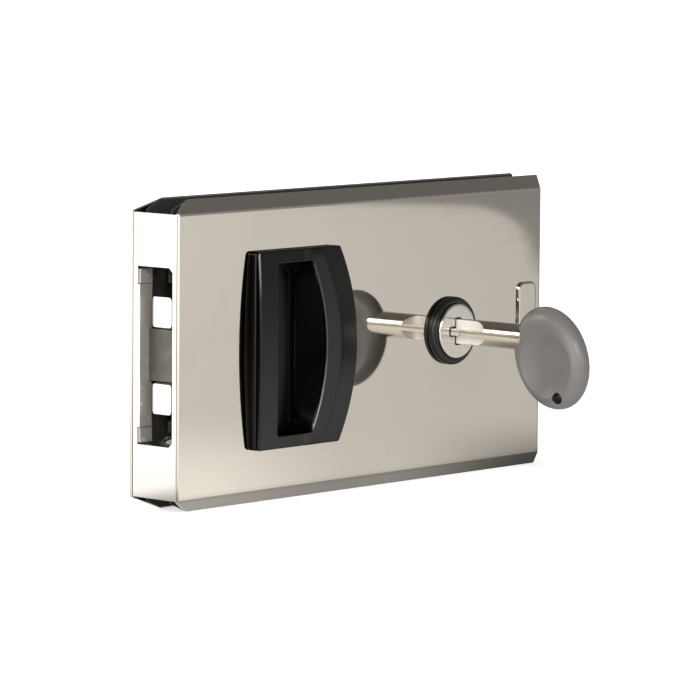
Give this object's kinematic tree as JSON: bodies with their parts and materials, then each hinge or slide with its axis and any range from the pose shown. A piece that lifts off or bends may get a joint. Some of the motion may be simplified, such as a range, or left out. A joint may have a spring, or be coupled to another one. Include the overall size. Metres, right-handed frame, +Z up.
{
  "type": "sliding door latch",
  "caption": "Polished hook latch for a sliding panel door, with black sliding finger pulls, a key cylinder with its key, a far-side turn knob and swing-out hooks.",
  "frame": {"origin": "middle of the edge plate's outer face: mid-height, and in the middle plane of the door panel", "axes": "+X runs from the door's leading edge into the door, -Y points out of the key side, +Z is up"},
  "size_m": [0.1841, 0.0998, 0.1],
  "materials": {
    "polished_steel": "mirror polished stainless steel",
    "case_metal": "die cast, plain",
    "bare_steel": "zinc plated steel",
    "hook_steel": "polished hardened steel",
    "black_plastic": "satin black",
    "nylon": "natural nylon",
    "gasket_rubber": "matt",
    "nickel_plate": "satin nickel",
    "lock_brass": "machined",
    "grey_plastic": "satin warm grey"
  },
  "bodies": {
    "case": {"front_cover_plate": "polished_steel", "rear_cover_plate": "polished_steel", "front_gasket": "gasket_rubber", "rear_gasket": "gasket_rubber", "front_case_half": "case_metal", "rear_case_half": "case_metal", "case_screws": "bare_steel", "edge_plate": "polished_steel", "edge_rivets": "bare_steel", "pocket_plate": "bare_steel", "pocket_strip": "bare_steel", "pocket_strip_lugs": "bare_steel", "hook_pivots": "bare_steel", "slide_guides": "nylon", "front_pull_base": "black_plastic", "rear_pull_base": "black_plastic", "front_base_screws": "bare_steel", "rear_base_screws": "bare_steel", "cylinder_body": "lock_brass", "cylinder_ring": "black_plastic", "cylinder_nut": "bare_steel", "driver_pins": "lock_brass", "pin_springs": "bare_steel", "bolt_guides": "nylon", "knob_ring": "black_plastic", "fixing_sleeve": "nylon", "fixing_screw": "bare_steel", "fixing_nut": "bare_steel", "front_fixing_cap": "polished_steel", "rear_fixing_cap": "polished_steel"},
    "latch": {"drive_slide": "bare_steel", "drive_studs": "bare_steel", "notch_plate": "bare_steel", "front_pull": "black_plastic", "rear_pull": "black_plastic", "pull_screws": "bare_steel"},
    "upper_hook": {"upper_hook": "hook_steel"},
    "lower_hook": {"lower_hook": "hook_steel"},
    "plug": {"cylinder_plug": "nickel_plate", "plug_pins": "lock_brass", "lock_cam": "bare_steel", "cam_clip": "bare_steel", "turn_knob": "nickel_plate"},
    "bolt": {"locking_bolt": "bare_steel"},
    "key": {"key_blade": "nickel_plate", "key_bow": "grey_plastic"}
  },
  "joints": [
    {"name": "latch_slide", "type": "slide", "parent": "case", "child": "latch", "axis": [-1, 0, 0], "range_m": [0, 0.005]},
    {"name": "upper_hook_turn", "type": "hinge", "parent": "case", "child": "upper_hook", "pos_m": [0.014, 0, 0.03], "axis": [0, 1, 0], "range_deg": [0, 55]},
    {"name": "lower_hook_turn", "type": "hinge", "parent": "case", "child": "lower_hook", "pos_m": [0.014, 0, -0.03], "axis": [0, -1, 0], "range_deg": [0, 55]},
    {"name": "plug_turn", "type": "hinge", "parent": "case", "child": "plug", "pos_m": [0.13245, 0, 0], "axis": [0, -1, 0], "range_deg": [0, 90]},
    {"name": "bolt_lift", "type": "slide", "parent": "case", "child": "bolt", "axis": [0, 0, 1], "range_m": [0, 0.004]},
    {"name": "key_withdraw", "type": "slide", "parent": "plug", "child": "key", "axis": [0, -1, 0], "range_m": [-0.007, 0.012]}
  ],
  "couplings": [
    {"joint": "upper_hook_turn", "follows": "latch_slide", "rad_per_m": 191.99},
    {"joint": "lower_hook_turn", "follows": "latch_slide", "rad_per_m": 191.99},
    {"joint": "bolt_lift", "follows": "plug_turn", "m_per_rad": 0.0025465}
  ]
}
